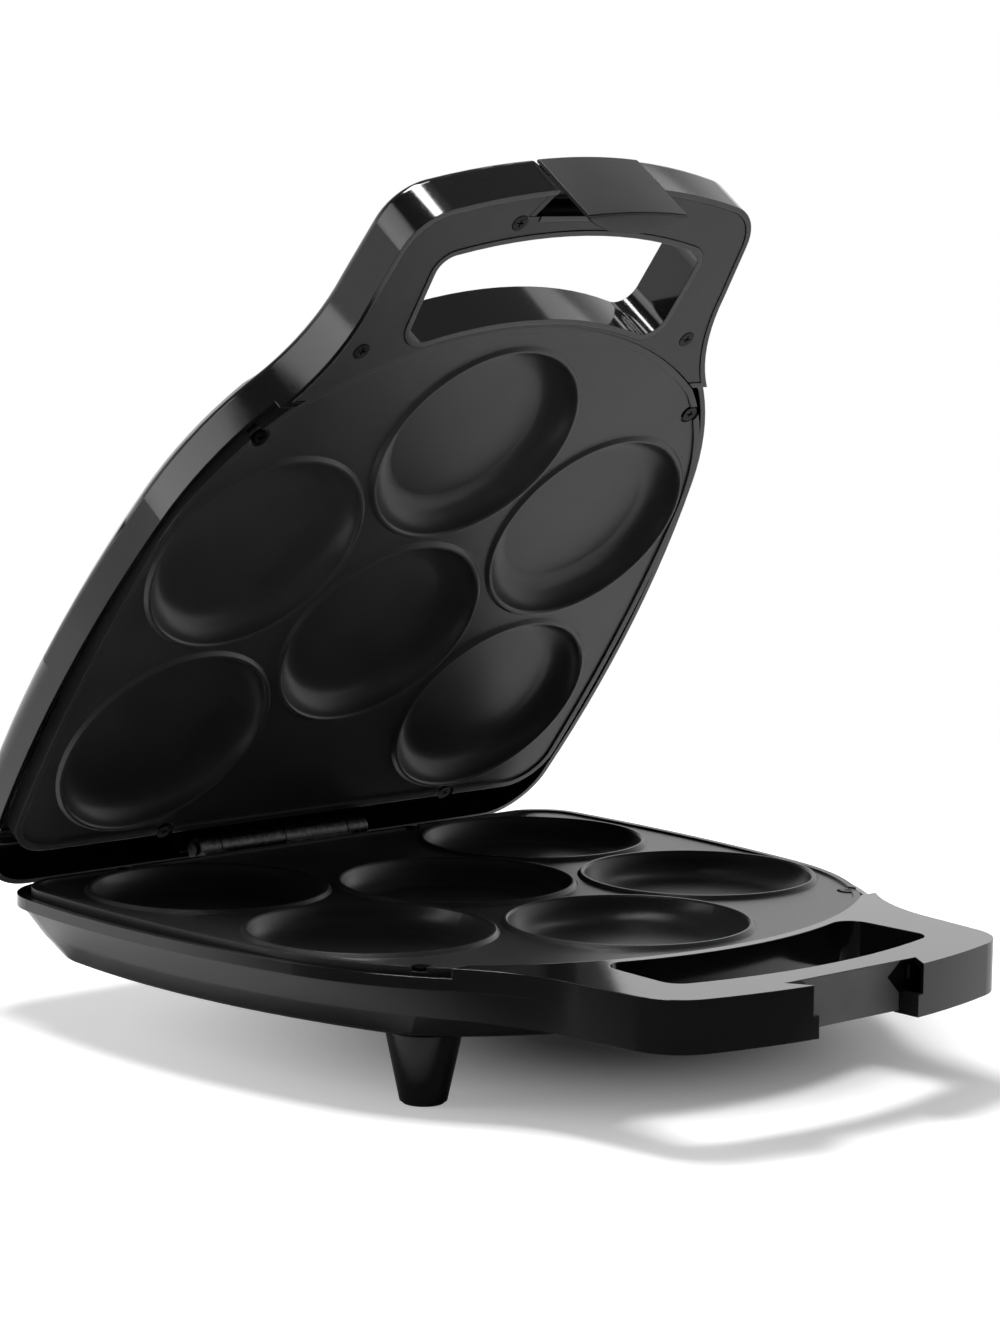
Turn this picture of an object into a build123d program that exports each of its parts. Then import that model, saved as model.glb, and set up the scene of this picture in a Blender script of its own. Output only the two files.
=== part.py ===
"""Arepa maker with six round wells in each half, its lid standing open.

Millimetres. The origin is on the table, under the middle of the whole outline.
+Z is up and the handles point to -Y. Each half is drawn in its own face frame:
y = 0 is above the hinge axis, z = 0 is the face where the halves meet, and -z
goes into that half's housing.
"""
from build123d import *
import os
from math import cos, radians, sin, sqrt

os.makedirs("parts", exist_ok=True)

# Place of the hinge and opening of the lid
HINGE_Y = 170.0
HINGE_Z = 60.0
LID_OPEN = 54.2
FACE_RISE = 1.0
FACE_GAP = 0.8

# Outline that both housings share
BODY_HALF = 162.0
WIDEST_Y = -105.0
REAR_TUCK = 6.0
SHOULDER_TUCK = 13.0
SHOULDER_Y = -196.0
NECK_TUCK = 43.0
NECK_BACK = 36.0
FRONT_ARC_R = 184.0
FRONT_ARC_Y = -108.0
GRIP_TUCK = 63.0
GRIP_REACH = 14.0
CORNER_TUCK = 68.0
CORNER_REACH = 57.0
HANDLE_REACH = 72.5
FRONT_CORNER_R = 24.0
REAR_CORNER_R = 30.0
BASE_REAR_Y = -3.5
LID_REAR_Y = 12.5

# Cooking plate and its wells
PLATE_INSET = 7.5
PLATE_REAR_INSET = 4.0
PLATE_REAR_GAP = 7.0
PLATE_SHOULDER_TUCK = 13.5
PLATE_SHOULDER_Y = -180.0
PLATE_KNEE_TUCK = 50.0
PLATE_CORNER_R = 22.0
PLATE_GAP = 0.5
PLATE_DROP = 2.1
PLATE_THICK = 2.4
SKIRT_DEPTH = 6.6
BEAD_WIDTH = 3.0
BEAD_HEIGHT = 0.9
WELL_PITCH = 107.0
WELL_CENTRE_Y = -122.0
WELL_R = 50.0
LIP_WIDTH = 2.4
LIP_DROP = 0.5
WELL_DEPTH = 11.0
WELL_FLOOR_R = 36.0
WELL_WALL = 2.2

# Housings
WALL = 2.5
RIM_DROP = 4.0
RIM_BAND = 5.0
BASE_DEPTH = 31.0
BASE_LEAN = 15.0
RIM_STEP = 1.5
BASE_EDGE_R = 4.0
BASE_GRIP_DEPTH = 21.0
LID_DEPTH = 28.0
LID_EDGE_R = 14.0
LID_GRIP_DEPTH = 22.0
LID_GRIP_EDGE_R = 4.0
COVER_THICK = 2.4
COVER_GAP = 0.3
COVER_DROP = 0.3
SCREW_SINK = 1.4

# Opening for the fingers
ARM_WIDTH = 90.0
HOLE_FLARE = 2.0
HOLE_CORNER_R = 9.0
HOLE_CORNER_BACK = 11.0
GRIP_BAR = 24.5
FRONT_WALL = 5.0
DECK_DEPTH = 7.0

# Latch
LATCH_HALF = 27.0
LATCH_SIDE_GAP = 0.7
LATCH_PIVOT_BACK = 9.5
LATCH_PIVOT_DEPTH = 12.6
LATCH_BARREL_R = 4.0
LATCH_PIN_R = 1.5
LATCH_TOP = 18.5
LATCH_TIP = 20.4
LATCH_PROUD = 1.8
LATCH_BOW = 1.4
LATCH_EDGE = 1.6
LATCH_BODY = 3.4
LATCH_TOP_R = 5.0
RECESS_BACK = 14.5
NOTCH_BACK = 11.5
HOOK_REACH = 2.0
HOOK_HEIGHT = 2.4
HOOK_PLAY = 0.4
POCKET_SIZE = 9.0
POCKET_DEPTH = 12.0

# Hinge
BARREL_R = 5.0
PIN_R = 2.0
PIN_GAP = 0.05
KNUCKLE_GAP = 0.3
MAIN_KNUCKLE = 36.3
HINGE_HALF = 48.0
LEAF_THICK = 1.6
STRIP_CLEAR = 3.0
BASE_ARM = 1.0
LID_STRIP = 15.0
PIN_HEAD = 1.2

# Fasteners
SCREW_HEAD_R = 3.6
SCREW_HEAD_H = 1.6
SCREW_SHANK_R = 1.4
SCREW_LENGTH = 9.0
BOSS_R = 4.2
GRIP_SCREW_X = 39.8
GRIP_SCREW_BACK = 18.0
ARM_SCREW_TUCK = 71.7
ARM_SCREW_BACK = 8.7
PLATE_SCREW_TUCK = 42.1
PLATE_SCREW_INSET = 6.3
REAR_SCREW_NEAR_X = 68.0
REAR_SCREW_TUCK = 67.0
REAR_SCREW_INSET = 1.0
SCREW_SEAT = 0.2
NOTCH_R = 4.8
NOTCH_DEPTH = 1.2

# Heating
ELEMENT_R = 3.2
ELEMENT_GAP = 0.3
ELEMENT_TUCK = 70.0
ELEMENT_REAR_Y = -60.0
ELEMENT_FRONT_Y = -190.0
ELEMENT_BEND_R = 20.0
ELEMENT_LEG_X = 24.0
ELEMENT_END_Y = -30.0
REFLECTOR_THICK = 0.8
REFLECTOR_INSET = 11.0
SENSOR_R = 8.5
SENSOR_H = 6.5
SENSOR_Y = -122.0
FUSE_R = 2.0
FUSE_LENGTH = 16.0
FUSE_X = -60.0
BLOCK_X = 26.0
BLOCK_Y = 12.0
BLOCK_H = 6.0
BLOCK_PLACE_X = -60.0
BLOCK_PLACE_Y = -32.0
GLAND_TUCK = 52.0
GLAND_DEPTH = 18.0
GLAND_END_Y = -1.0
GLAND_R = 5.0
GLAND_BORE_R = 3.3
GLAND_FLANGE_R = 6.2
GLAND_FLANGE = 1.5
GLAND_LENGTH = 18.3

# Feet
FOOT_TOP_R = 15.5
FOOT_BOTTOM_R = 9.5
PAD_H = 2.0
PAD_R = 8.5
FRONT_FOOT_TUCK = 56.0
FRONT_FOOT_Y = -225.0
REAR_FOOT_X = 50.0
REAR_FOOT_Y = -42.0

# Lamps on the lid
LAMP_R = 3.5
LAMP_SPACING = 18.0
LAMP_Y = -240.0
LAMP_DOME = 1.2

# Frames of the two halves
BASE_FACE_Z = HINGE_Z + FACE_RISE - FACE_GAP / 2
LID_FACE_RISE = FACE_RISE + FACE_GAP / 2
LEAN = radians(LID_OPEN)
HINGE = Plane(origin=(0, HINGE_Y, HINGE_Z))
BASE = Plane(origin=(0, HINGE_Y, BASE_FACE_Z))
LID_UP = Vector(0, sin(LEAN), cos(LEAN))
LID_HINGE = Plane(origin=(0, HINGE_Y, HINGE_Z), x_dir=(-1, 0, 0), z_dir=LID_UP * -1)
LID = LID_HINGE.offset(-LID_FACE_RISE)
AXIS_IN_BASE = HINGE_Z - BASE_FACE_Z
AXIS_TO_BAND = -(RIM_DROP + RIM_BAND) - AXIS_IN_BASE

REAR_HALF = BODY_HALF - REAR_TUCK
SHOULDER_X = BODY_HALF - SHOULDER_TUCK
NECK_X = BODY_HALF - NECK_TUCK
GRIP_X = BODY_HALF - GRIP_TUCK
CORNER_X = BODY_HALF - CORNER_TUCK
BODY_FRONT_Y = FRONT_ARC_Y - FRONT_ARC_R
NECK_Y = BODY_FRONT_Y + NECK_BACK
GRIP_Y = BODY_FRONT_Y - GRIP_REACH
CORNER_Y = BODY_FRONT_Y - CORNER_REACH
FRONT_Y = BODY_FRONT_Y - HANDLE_REACH
HOLE_FRONT_Y = FRONT_Y + GRIP_BAR
HOLE_CORNER_Y = HOLE_FRONT_Y + HOLE_CORNER_BACK
RECESS_Y = FRONT_Y + RECESS_BACK
NOTCH_Y = FRONT_Y + NOTCH_BACK
LATCH_PIVOT_Y = FRONT_Y + LATCH_PIVOT_BACK
LATCH_FRONT_Y = FRONT_Y - LATCH_PROUD
PLATE_HALF = BODY_HALF - PLATE_INSET
PLATE_KNEE_X = BODY_HALF - PLATE_KNEE_TUCK
HOLE_HALF = BODY_HALF - ARM_WIDTH
HOLE_REAR_HALF = HOLE_HALF - HOLE_FLARE
ARM_SCREW_X = BODY_HALF - ARM_SCREW_TUCK
PLATE_SCREW_X = BODY_HALF - PLATE_SCREW_TUCK
REAR_SCREW_FAR_X = REAR_SCREW_TUCK - BODY_HALF
ELEMENT_HALF_X = BODY_HALF - ELEMENT_TUCK
GLAND_X = GLAND_TUCK - BODY_HALF
FRONT_FOOT_X = BODY_HALF - FRONT_FOOT_TUCK
PLATE_REAR_HALF = REAR_HALF - PLATE_REAR_INSET
PLATE_REAR_Y = BASE_REAR_Y - PLATE_REAR_GAP
PLATE_SHOULDER_X = BODY_HALF - PLATE_SHOULDER_TUCK


def arc_y(x, inset=0.0):
    """Front arc's y at x, for an arc inset from the plate's edge."""
    return FRONT_ARC_Y - sqrt((FRONT_ARC_R - inset) ** 2 - x**2)


LID_AXIS = Axis((0, HINGE_Y, HINGE_Z), LID_UP)
LATCH_SIDE = Plane(
    origin=LID.from_local_coords((0, LATCH_PIVOT_Y, -LATCH_PIVOT_DEPTH)),
    x_dir=LID.y_dir,
    z_dir=LID.x_dir,
)
GLAND_PLANE = Plane(
    origin=BASE.from_local_coords((GLAND_X, GLAND_END_Y, -GLAND_DEPTH)),
    z_dir=(0, 1, 0),
)
COVER_SEAT = COVER_DROP + COVER_THICK + COVER_GAP
HOOK_TOP = FACE_GAP - LATCH_TIP + HOOK_HEIGHT
PIN_REACH = LATCH_HALF + LATCH_SIDE_GAP + WALL

LIP_TOP = -LIP_DROP
PLATE_TOP = -PLATE_DROP
POST_TOP = PLATE_TOP - PLATE_THICK - COVER_GAP
FLOOR_TOP = LIP_TOP - WELL_DEPTH
FLOOR_UNDER = FLOOR_TOP - WELL_WALL
ELEMENT_Z = FLOOR_UNDER - ELEMENT_GAP - ELEMENT_R
REFLECTOR_TOP = ELEMENT_Z - ELEMENT_R - ELEMENT_GAP
REFLECTOR_UNDER = REFLECTOR_TOP - REFLECTOR_THICK
WELL_PLACES = [(0.0, WELL_CENTRE_Y)] + [
    (
        WELL_PITCH * cos(radians(turn)),
        WELL_CENTRE_Y + WELL_PITCH * sin(radians(turn)),
    )
    for turn in (30, 150, 210, 270, 330)
]
PLATE_SCREWS = [
    (PLATE_SCREW_X, arc_y(PLATE_SCREW_X, PLATE_SCREW_INSET)),
    (-PLATE_SCREW_X, arc_y(PLATE_SCREW_X, PLATE_SCREW_INSET)),
    (REAR_SCREW_NEAR_X, PLATE_REAR_Y - REAR_SCREW_INSET),
    (REAR_SCREW_FAR_X, PLATE_REAR_Y - REAR_SCREW_INSET),
]
GRIP_SCREWS = [
    (GRIP_SCREW_X, FRONT_Y + GRIP_SCREW_BACK),
    (-GRIP_SCREW_X, FRONT_Y + GRIP_SCREW_BACK),
    (ARM_SCREW_X, BODY_FRONT_Y + ARM_SCREW_BACK),
    (-ARM_SCREW_X, BODY_FRONT_Y + ARM_SCREW_BACK),
]
FEET = {
    "front_left": (-FRONT_FOOT_X, FRONT_FOOT_Y),
    "front_right": (FRONT_FOOT_X, FRONT_FOOT_Y),
    "rear_left": (-REAR_FOOT_X, REAR_FOOT_Y),
    "rear_right": (REAR_FOOT_X, REAR_FOOT_Y),
}

LAMPS = {
    "power_lamp": (-LAMP_SPACING / 2, LAMP_Y),
    "ready_lamp": (LAMP_SPACING / 2, LAMP_Y),
}


def save(piece, name):
    piece.part.label = name
    export_step(piece.part, "parts/" + name + ".step")


# Outlines, drawn once and added to the sketches that need them
def housing_outline(rear_y, lean=0.0):
    """Body and handle seen from above; lean draws the body sides in."""
    with BuildSketch() as shape:
        with BuildLine():
            side = ThreePointArc(
                (REAR_HALF - lean, rear_y - lean),
                (BODY_HALF - lean, WIDEST_Y),
                (SHOULDER_X - lean, SHOULDER_Y + lean / 3),
            )
            neck = TangentArc(side @ 1, (NECK_X - lean / 2, NECK_Y), tangent=side % 1)
            arm = TangentArc(neck @ 1, (GRIP_X, GRIP_Y), tangent=neck % 1)
            Line(arm @ 1, (CORNER_X, CORNER_Y))
            mirror(about=Plane.YZ)
            Line(side @ 0, (-(REAR_HALF - lean), rear_y - lean))
            ThreePointArc(
                (CORNER_X, CORNER_Y),
                (0, FRONT_Y),
                (-CORNER_X, CORNER_Y),
            )
        make_face()
        rear = shape.vertices().filter_by_position(Axis.Y, rear_y - lean - 1, rear_y + 1)
        fillet(rear, REAR_CORNER_R)
        front = shape.vertices().filter_by_position(
            Axis.Y, CORNER_Y - 1, CORNER_Y + 1
        )
        fillet(front, FRONT_CORNER_R)
    return shape.sketch


def body_mask(grow):
    """Everything behind the plate's front arc, grown outward."""
    with BuildSketch() as shape:
        with Locations((0, FRONT_ARC_Y)):
            Circle(FRONT_ARC_R + grow)
            Rectangle(
                2.2 * BODY_HALF,
                BODY_HALF,
                align=(Align.CENTER, Align.MIN),
            )
    return shape.sketch


def body_outline(rear_y, lean=0.0):
    with BuildSketch() as shape:
        add(housing_outline(rear_y, lean))
        add(body_mask(FRONT_WALL - lean), mode=Mode.INTERSECT)
    return shape.sketch


def plate_outline():
    with BuildSketch() as shape:
        with BuildLine():
            side = ThreePointArc(
                (PLATE_REAR_HALF, PLATE_REAR_Y),
                (PLATE_HALF, WIDEST_Y),
                (PLATE_SHOULDER_X, PLATE_SHOULDER_Y),
            )
            knee = TangentArc(
                side @ 1,
                (PLATE_KNEE_X, arc_y(PLATE_KNEE_X)),
                tangent=side % 1,
            )
            mirror(about=Plane.YZ)
            Line(side @ 0, (-PLATE_REAR_HALF, PLATE_REAR_Y))
            ThreePointArc(
                knee @ 1,
                (0, BODY_FRONT_Y),
                (-PLATE_KNEE_X, arc_y(PLATE_KNEE_X)),
            )
        make_face()
        rear = shape.vertices().group_by(Axis.Y)[-1]
        fillet(rear, PLATE_CORNER_R)
    return shape.sketch


def finger_hole(grow=0.0):
    with BuildSketch() as shape:
        with BuildLine():
            rear_y = arc_y(HOLE_REAR_HALF, -FRONT_WALL)
            right = Line((HOLE_REAR_HALF, rear_y), (HOLE_HALF, HOLE_CORNER_Y))
            ThreePointArc(right @ 1, (0, HOLE_FRONT_Y), (-HOLE_HALF, HOLE_CORNER_Y))
            Line((-HOLE_HALF, HOLE_CORNER_Y), (-HOLE_REAR_HALF, rear_y))
            ThreePointArc(
                (-HOLE_REAR_HALF, rear_y),
                (0, BODY_FRONT_Y - FRONT_WALL),
                right @ 0,
            )
        make_face()
        fillet(shape.vertices(), HOLE_CORNER_R)
        if grow:
            offset(amount=grow)
    return shape.sketch


def grip_pocket(rear_y, recess_y):
    """Hollow of the handle, inside its outer, hole and latch walls."""
    with BuildSketch() as shape:
        add(housing_outline(rear_y))
        offset(amount=-WALL)
        add(body_mask(FRONT_WALL + WALL / 2), mode=Mode.SUBTRACT)
        add(finger_hole(WALL), mode=Mode.SUBTRACT)
        with Locations((0, recess_y + WALL)):
            Rectangle(
                2 * (LATCH_HALF + LATCH_SIDE_GAP + WALL),
                BODY_HALF,
                align=(Align.CENTER, Align.MAX),
                mode=Mode.SUBTRACT,
            )
    return shape.sketch


def cooking_plate(frame):
    """Cast plate: flat web, skirt, edge bead and six round wells."""
    outline = plate_outline()
    with BuildPart() as plate:
        with BuildSketch(frame.offset(PLATE_TOP)):
            add(outline)
        extrude(amount=-SKIRT_DEPTH)
        with BuildSketch(frame.offset(PLATE_TOP - PLATE_THICK)):
            add(outline)
            offset(amount=-PLATE_THICK)
        extrude(amount=-SKIRT_DEPTH, mode=Mode.SUBTRACT)
        with BuildSketch(frame.offset(PLATE_TOP)):
            add(outline)
            with BuildSketch(mode=Mode.SUBTRACT):
                add(outline)
                offset(amount=-BEAD_WIDTH)
        extrude(amount=BEAD_HEIGHT)
        with BuildSketch(frame.offset(LIP_TOP + 1)):
            with Locations(*WELL_PLACES):
                Circle(WELL_R + 1)
        extrude(amount=-(PLATE_DROP + PLATE_THICK + 2), mode=Mode.SUBTRACT)
        for x, y in WELL_PLACES:
            side = Plane(
                origin=frame.from_local_coords((x, y, 0)),
                x_dir=frame.x_dir,
                z_dir=frame.y_dir * -1,
            )
            with BuildSketch(side):
                with BuildLine():
                    lip = Line((WELL_R, LIP_TOP), (WELL_R + 1, LIP_TOP))
                    outer = Line(lip @ 1, (WELL_R + LIP_WIDTH, PLATE_TOP))
                    drop = Line(outer @ 1, (WELL_R + LIP_WIDTH, PLATE_TOP - PLATE_THICK))
                    under = Line(drop @ 1, (WELL_R + 1, PLATE_TOP - PLATE_THICK))
                    bowl = ThreePointArc(
                        under @ 1,
                        (WELL_R - 3, FLOOR_UNDER + 3.2),
                        (WELL_FLOOR_R, FLOOR_UNDER),
                    )
                    base = Line(bowl @ 1, (0, FLOOR_UNDER))
                    middle = Line(base @ 1, (0, FLOOR_TOP))
                    floor = Line(middle @ 1, (WELL_FLOOR_R, FLOOR_TOP))
                    ThreePointArc(
                        floor @ 1,
                        (WELL_R - 4.6, FLOOR_TOP + 3.6),
                        (WELL_R - 0.7, LIP_TOP - 0.8),
                    )
                    Line((WELL_R - 0.7, LIP_TOP - 0.8), lip @ 0)
                make_face()
            axis = Axis(frame.from_local_coords((x, y, 0)), frame.z_dir)
            revolve(axis=axis)
        # Screws sit in small notches at the edge, with the posts below them
        with BuildSketch(frame.offset(LIP_TOP + 1)):
            with Locations(*PLATE_SCREWS):
                Circle(SCREW_SHANK_R + SCREW_SEAT)
        extrude(amount=-(SKIRT_DEPTH + 2), mode=Mode.SUBTRACT)
        with BuildSketch(frame.offset(PLATE_TOP - NOTCH_DEPTH)):
            with Locations(*PLATE_SCREWS):
                Circle(NOTCH_R)
        extrude(amount=NOTCH_DEPTH + 1, mode=Mode.SUBTRACT)
        with BuildSketch(frame.offset(PLATE_TOP - PLATE_THICK)):
            with Locations(*PLATE_SCREWS):
                Circle(BOSS_R + COVER_GAP)
        extrude(amount=-SKIRT_DEPTH, mode=Mode.SUBTRACT)
    return plate


def screws(frame, places, head_top, turned=False):
    """Pan-head screws with a cross slot, heads at head_top."""
    way = 1 if turned else -1
    with BuildPart() as group:
        with BuildSketch(frame.offset(head_top)):
            with Locations(*places):
                Circle(SCREW_HEAD_R)
        extrude(amount=way * SCREW_HEAD_H)
        with BuildSketch(frame.offset(head_top)):
            with Locations(*places):
                Rectangle(SCREW_HEAD_R, SCREW_HEAD_R / 5)
                Rectangle(SCREW_HEAD_R / 5, SCREW_HEAD_R)
        extrude(amount=way * SCREW_HEAD_H * 0.6, mode=Mode.SUBTRACT)
        with BuildSketch(frame.offset(head_top + way * SCREW_HEAD_H)):
            with Locations(*places):
                Circle(SCREW_SHANK_R)
        extrude(amount=way * (SCREW_LENGTH - SCREW_HEAD_H))
    return group


def heating_element(frame):
    """Sheathed heater bent into one loop under the wells."""
    level = frame.offset(ELEMENT_Z)
    with BuildPart() as heater:
        with BuildLine(level) as path:
            FilletPolyline(
                (-ELEMENT_LEG_X, ELEMENT_END_Y),
                (-ELEMENT_LEG_X, ELEMENT_REAR_Y),
                (-ELEMENT_HALF_X, ELEMENT_REAR_Y),
                (-ELEMENT_HALF_X, ELEMENT_FRONT_Y),
                (ELEMENT_HALF_X, ELEMENT_FRONT_Y),
                (ELEMENT_HALF_X, ELEMENT_REAR_Y),
                (ELEMENT_LEG_X, ELEMENT_REAR_Y),
                (ELEMENT_LEG_X, ELEMENT_END_Y),
                radius=ELEMENT_BEND_R / 2,
            )
        with BuildSketch(Plane(origin=path.line @ 0, z_dir=path.line % 0)):
            Circle(ELEMENT_R)
        sweep()
    return heater


def reflector(frame):
    with BuildPart() as tray:
        with BuildSketch(frame.offset(REFLECTOR_TOP)):
            add(plate_outline())
            offset(amount=-REFLECTOR_INSET)
        extrude(amount=-REFLECTOR_THICK)
        with BuildSketch(frame.offset(REFLECTOR_TOP + 1)):
            with Locations(*PLATE_SCREWS):
                Circle(BOSS_R + COVER_GAP)
        extrude(amount=-(REFLECTOR_THICK + 2), mode=Mode.SUBTRACT)
    return tray


def latch_recess(recess_y):
    """Gap in the middle of the handle front that the latch swings in."""
    with BuildSketch() as shape:
        with Locations((0, recess_y)):
            Rectangle(
                2 * (LATCH_HALF + LATCH_SIDE_GAP),
                BODY_HALF,
                align=(Align.CENTER, Align.MAX),
            )
    return shape.sketch


def latch_pockets(recess_y, grow=0.0):
    """Three-cornered reliefs at both ends of the latch gap."""
    edge = LATCH_HALF
    reach = LATCH_HALF + LATCH_SIDE_GAP + POCKET_SIZE
    with BuildSketch() as shape:
        with BuildLine():
            Polyline(
                (edge, recess_y + grow),
                (reach + grow, recess_y + grow),
                (edge + WALL, FRONT_Y),
                (edge, FRONT_Y),
                close=True,
            )
        make_face()
        mirror(about=Plane.YZ)
    return shape.sketch


def handle_face(rear_y, reach_in):
    """Housing in front of the neck, run in to the plate's front arc."""
    with BuildSketch() as shape:
        add(housing_outline(rear_y))
        add(body_mask(reach_in), mode=Mode.SUBTRACT)
        with Locations((0, NECK_Y)):
            Rectangle(
                3 * BODY_HALF,
                2 * BODY_HALF,
                align=(Align.CENTER, Align.MIN),
                mode=Mode.SUBTRACT,
            )
    return shape.sketch


def cover_outline(rear_y, recess_y, reach_in, gap=0.0):
    """Room of a handle cover, or with a gap the cover that fits in it."""
    with BuildSketch() as shape:
        add(housing_outline(rear_y))
        offset(amount=-WALL - gap)
        add(body_mask(reach_in), mode=Mode.SUBTRACT)
        with Locations((0, NECK_Y - WALL - gap)):
            Rectangle(
                3 * BODY_HALF,
                2 * BODY_HALF,
                align=(Align.CENTER, Align.MIN),
                mode=Mode.SUBTRACT,
            )
        add(finger_hole(WALL + gap), mode=Mode.SUBTRACT)
        with Locations((0, recess_y + WALL + gap)):
            Rectangle(
                2 * (LATCH_HALF + LATCH_SIDE_GAP + WALL + gap),
                BODY_HALF,
                align=(Align.CENTER, Align.MAX),
                mode=Mode.SUBTRACT,
            )
    return shape.sketch


# Base housing: a tub with leaning sides, run out into a hollow handle
BAND_FOOT = -(RIM_DROP + RIM_BAND)
GRIP_LEAN = BASE_LEAN * (BASE_GRIP_DEPTH + BAND_FOOT) / (BASE_DEPTH + BAND_FOOT)
with BuildPart() as base_hollow:
    with BuildSketch(BASE):
        add(body_outline(BASE_REAR_Y))
        offset(amount=-WALL)
    extrude(amount=BAND_FOOT)
    with BuildSketch(BASE.offset(BAND_FOOT)):
        add(body_outline(BASE_REAR_Y, RIM_STEP))
        offset(amount=-WALL)
    with BuildSketch(BASE.offset(WALL - BASE_DEPTH)):
        add(body_outline(BASE_REAR_Y, BASE_LEAN))
        offset(amount=-WALL)
    loft(ruled=True)
    # Screw posts are left standing in the hollow
    with BuildSketch(BASE.offset(POST_TOP)):
        with Locations(*PLATE_SCREWS):
            Circle(BOSS_R)
    extrude(amount=-BASE_DEPTH, mode=Mode.SUBTRACT)

with BuildPart() as base_casing:
    with BuildSketch(BASE):
        add(handle_face(BASE_REAR_Y, FRONT_WALL))
    extrude(amount=-RIM_DROP)
    with BuildSketch(BASE.offset(-RIM_DROP)):
        add(housing_outline(BASE_REAR_Y))
        add(body_mask(FRONT_WALL), mode=Mode.SUBTRACT)
    extrude(amount=-RIM_BAND)
    with BuildSketch(BASE.offset(-RIM_DROP)):
        add(body_outline(BASE_REAR_Y))
    extrude(amount=-RIM_BAND)
    with BuildSketch(BASE.offset(BAND_FOOT)):
        add(housing_outline(BASE_REAR_Y, RIM_STEP))
    with BuildSketch(BASE.offset(-BASE_GRIP_DEPTH)):
        add(housing_outline(BASE_REAR_Y, GRIP_LEAN))
    loft(ruled=True)
    with BuildSketch(BASE.offset(-BASE_GRIP_DEPTH)):
        add(body_outline(BASE_REAR_Y, GRIP_LEAN))
    with BuildSketch(BASE.offset(-BASE_DEPTH)):
        add(body_outline(BASE_REAR_Y, BASE_LEAN))
    loft(ruled=True)
    fillet(base_casing.faces().sort_by(Axis.Z)[0].edges(), BASE_EDGE_R)
    add(base_hollow.part, mode=Mode.SUBTRACT)
    with BuildSketch(BASE):
        add(handle_face(BASE_REAR_Y, PLATE_GAP))
        add(body_mask(FRONT_WALL), mode=Mode.INTERSECT)
    extrude(amount=-DECK_DEPTH)
    # Hollow of the handle, open underneath
    with BuildSketch(BASE.offset(-WALL)):
        add(grip_pocket(BASE_REAR_Y, NOTCH_Y))
    extrude(amount=-BASE_DEPTH, mode=Mode.SUBTRACT)
    with BuildSketch(BASE.offset(1)):
        add(finger_hole())
    extrude(amount=-BASE_DEPTH, mode=Mode.SUBTRACT)
    # Notch that the latch closes into, cut lower behind for its hook
    with BuildSketch(BASE.offset(1)):
        with Locations((0, NOTCH_Y)):
            Rectangle(
                2 * (LATCH_HALF + LATCH_SIDE_GAP),
                BODY_HALF,
                align=(Align.CENTER, Align.MAX),
            )
    extrude(amount=-BASE_DEPTH, mode=Mode.SUBTRACT)
    with BuildSketch(BASE.offset(HOOK_TOP + HOOK_PLAY)):
        with Locations((0, NOTCH_Y + WALL)):
            Rectangle(
                2 * (LATCH_HALF + LATCH_SIDE_GAP),
                BODY_HALF,
                align=(Align.CENTER, Align.MAX),
            )
    extrude(amount=-BASE_DEPTH, mode=Mode.SUBTRACT)
    # Screw posts of the handle cover
    with BuildSketch(BASE.offset(-WALL)):
        with Locations(*GRIP_SCREWS):
            Circle(BOSS_R)
    extrude(amount=-(BASE_GRIP_DEPTH - WALL - COVER_THICK - 2 * COVER_DROP))
    # Clearance for the hinge barrels
    with BuildSketch(BASE.offset(1)):
        with Locations((0, BASE_REAR_Y + 1)):
            Rectangle(
                2 * HINGE_HALF + 4,
                WALL + 2,
                align=(Align.CENTER, Align.MAX),
            )
    extrude(amount=AXIS_IN_BASE - BARREL_R - COVER_GAP - 1, mode=Mode.SUBTRACT)
    # Holes for the screws and the cable gland
    with BuildSketch(BASE.offset(PLATE_TOP)):
        with Locations(*PLATE_SCREWS):
            Circle(SCREW_SHANK_R + PIN_GAP)
    extrude(amount=-SCREW_LENGTH, mode=Mode.SUBTRACT)
    with BuildSketch(BASE.offset(-BASE_GRIP_DEPTH)):
        with Locations(*GRIP_SCREWS):
            Circle(SCREW_SHANK_R + PIN_GAP)
    extrude(amount=SCREW_LENGTH + 1, mode=Mode.SUBTRACT)
    with BuildSketch(BASE.offset(-BASE_DEPTH - 1)):
        with Locations(*FEET.values()):
            Circle(SCREW_SHANK_R + PIN_GAP)
    extrude(amount=WALL + 2, mode=Mode.SUBTRACT)
    with BuildSketch(GLAND_PLANE):
        Circle(GLAND_R + COVER_GAP)
    extrude(amount=-GLAND_LENGTH, mode=Mode.SUBTRACT)
    with BuildSketch(BASE.offset(1)):
        add(latch_pockets(NOTCH_Y))
    extrude(amount=-(POCKET_DEPTH + 1), mode=Mode.SUBTRACT)
save(base_casing, "base_casing")

# Lid housing: a deep shell with a soft edge, run out into a hollow handle
with BuildPart() as lid_grip_block:
    with BuildSketch(LID.offset(-RIM_DROP)):
        add(housing_outline(LID_REAR_Y))
        with Locations((0, FRONT_ARC_Y)):
            Rectangle(
                3 * BODY_HALF,
                BODY_HALF,
                align=(Align.CENTER, Align.MIN),
                mode=Mode.SUBTRACT,
            )
    extrude(amount=RIM_DROP - LID_GRIP_DEPTH)
    fillet(lid_grip_block.faces().sort_by(LID_AXIS)[-1].edges(), LID_GRIP_EDGE_R)

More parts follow.
